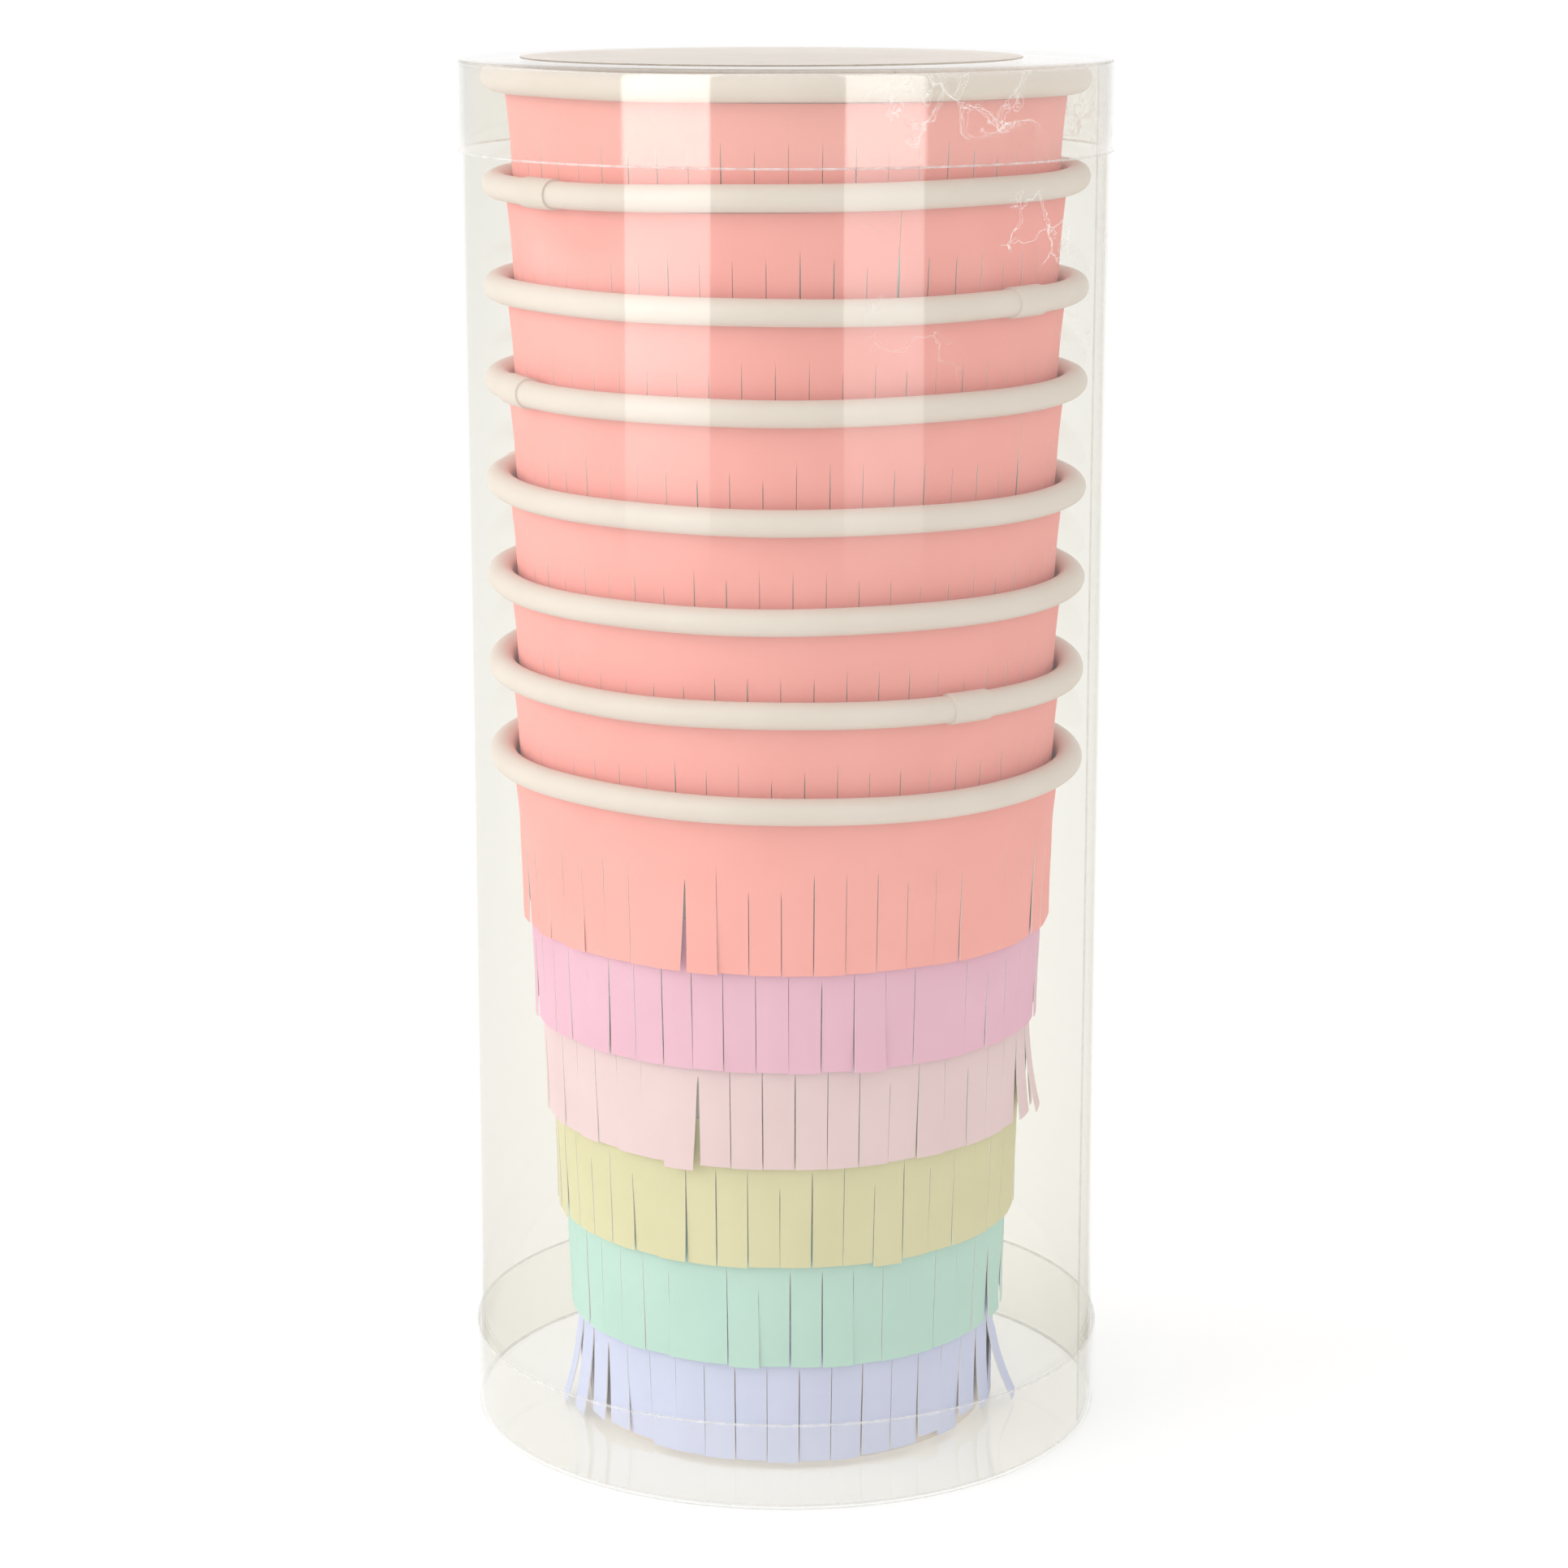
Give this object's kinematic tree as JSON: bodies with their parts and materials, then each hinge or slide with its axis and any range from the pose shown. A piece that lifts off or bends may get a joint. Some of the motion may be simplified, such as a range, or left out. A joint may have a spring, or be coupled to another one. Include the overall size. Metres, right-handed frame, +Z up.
{
  "type": "packed party cups",
  "caption": "Nested paper party cups with rolled rims and layered pastel paper fringes, packed in a clear round tube with a push-on cap at each end.",
  "frame": {"origin": "on the tube's axis, on the underside of the base cap, where the pack stands", "axes": "+Z up along the tube and the cups; -Y towards the front, with the tube's lapped seam at the right near +X"},
  "size_m": [0.0892, 0.0892, 0.1916],
  "materials": {
    "clear_sheet": "clear glossy sheet",
    "label": "translucent satin",
    "cup_paper": "cream coated board",
    "fringe_coral": "matte tissue",
    "fringe_orchid": "matte tissue",
    "fringe_blush": "matte tissue",
    "fringe_yellow": "matte tissue",
    "fringe_mint": "matte tissue",
    "fringe_lavender": "matte tissue"
  },
  "bodies": {
    "base_cap": {"base_cap": "clear_sheet"},
    "tube": {"tube": "clear_sheet", "tube_seam": "clear_sheet"},
    "cup_1": {"cup_1_wall": "cup_paper", "cup_1_floor": "cup_paper", "cup_1_fringe_coral": "fringe_coral", "cup_1_fringe_orchid": "fringe_orchid", "cup_1_fringe_blush": "fringe_blush", "cup_1_fringe_yellow": "fringe_yellow", "cup_1_fringe_mint": "fringe_mint", "cup_1_fringe_lavender": "fringe_lavender"},
    "cup_2": {"cup_2_wall": "cup_paper", "cup_2_floor": "cup_paper", "cup_2_fringe_coral": "fringe_coral", "cup_2_fringe_orchid_blush": "fringe_orchid", "cup_2_fringe_yellow_mint": "fringe_yellow", "cup_2_fringe_lavender": "fringe_lavender"},
    "cup_3": {"cup_3_wall": "cup_paper", "cup_3_floor": "cup_paper", "cup_3_fringe_coral": "fringe_coral", "cup_3_fringe_orchid_blush": "fringe_orchid", "cup_3_fringe_yellow_mint": "fringe_yellow", "cup_3_fringe_lavender": "fringe_lavender"},
    "cup_4": {"cup_4_wall": "cup_paper", "cup_4_floor": "cup_paper", "cup_4_fringe_coral": "fringe_coral", "cup_4_fringe_orchid_blush": "fringe_orchid", "cup_4_fringe_yellow_mint": "fringe_yellow", "cup_4_fringe_lavender": "fringe_lavender"},
    "cup_5": {"cup_5_wall": "cup_paper", "cup_5_floor": "cup_paper", "cup_5_fringe_coral": "fringe_coral", "cup_5_fringe_orchid_blush": "fringe_orchid", "cup_5_fringe_yellow_mint": "fringe_yellow", "cup_5_fringe_lavender": "fringe_lavender"},
    "cup_6": {"cup_6_wall": "cup_paper", "cup_6_floor": "cup_paper", "cup_6_fringe_coral": "fringe_coral", "cup_6_fringe_orchid_blush": "fringe_orchid", "cup_6_fringe_yellow_mint": "fringe_yellow", "cup_6_fringe_lavender": "fringe_lavender"},
    "cup_7": {"cup_7_wall": "cup_paper", "cup_7_floor": "cup_paper", "cup_7_fringe_coral": "fringe_coral", "cup_7_fringe_orchid_blush": "fringe_orchid", "cup_7_fringe_yellow_mint": "fringe_yellow", "cup_7_fringe_lavender": "fringe_lavender"},
    "cup_8": {"cup_8_wall": "cup_paper", "cup_8_floor": "cup_paper", "cup_8_fringe_coral": "fringe_coral", "cup_8_fringe_orchid_blush": "fringe_orchid", "cup_8_fringe_yellow_mint": "fringe_yellow", "cup_8_fringe_lavender": "fringe_lavender"},
    "lid": {"lid_cap": "clear_sheet", "lid_label": "label"}
  },
  "joints": [
    {"name": "tube_lift", "type": "slide", "parent": "base_cap", "child": "tube", "axis": [0, 0, 1], "range_m": [0, 0.03]},
    {"name": "cup_1_lift", "type": "slide", "parent": "tube", "child": "cup_1", "axis": [0, 0, 1], "range_m": [0, 0.195]},
    {"name": "cup_2_lift", "type": "slide", "parent": "cup_1", "child": "cup_2", "axis": [0, 0, 1], "range_m": [0, 0.1]},
    {"name": "cup_3_lift", "type": "slide", "parent": "cup_2", "child": "cup_3", "axis": [0, 0, 1], "range_m": [0, 0.1]},
    {"name": "cup_4_lift", "type": "slide", "parent": "cup_3", "child": "cup_4", "axis": [0, 0, 1], "range_m": [0, 0.1]},
    {"name": "cup_5_lift", "type": "slide", "parent": "cup_4", "child": "cup_5", "axis": [0, 0, 1], "range_m": [0, 0.1]},
    {"name": "cup_6_lift", "type": "slide", "parent": "cup_5", "child": "cup_6", "axis": [0, 0, 1], "range_m": [0, 0.1]},
    {"name": "cup_7_lift", "type": "slide", "parent": "cup_6", "child": "cup_7", "axis": [0, 0, 1], "range_m": [0, 0.1]},
    {"name": "cup_8_lift", "type": "slide", "parent": "cup_7", "child": "cup_8", "axis": [0, 0, 1], "range_m": [0, 0.1]},
    {"name": "lid_lift", "type": "slide", "parent": "cup_8", "child": "lid", "axis": [0, 0, 1], "range_m": [0, 0.03]}
  ]
}
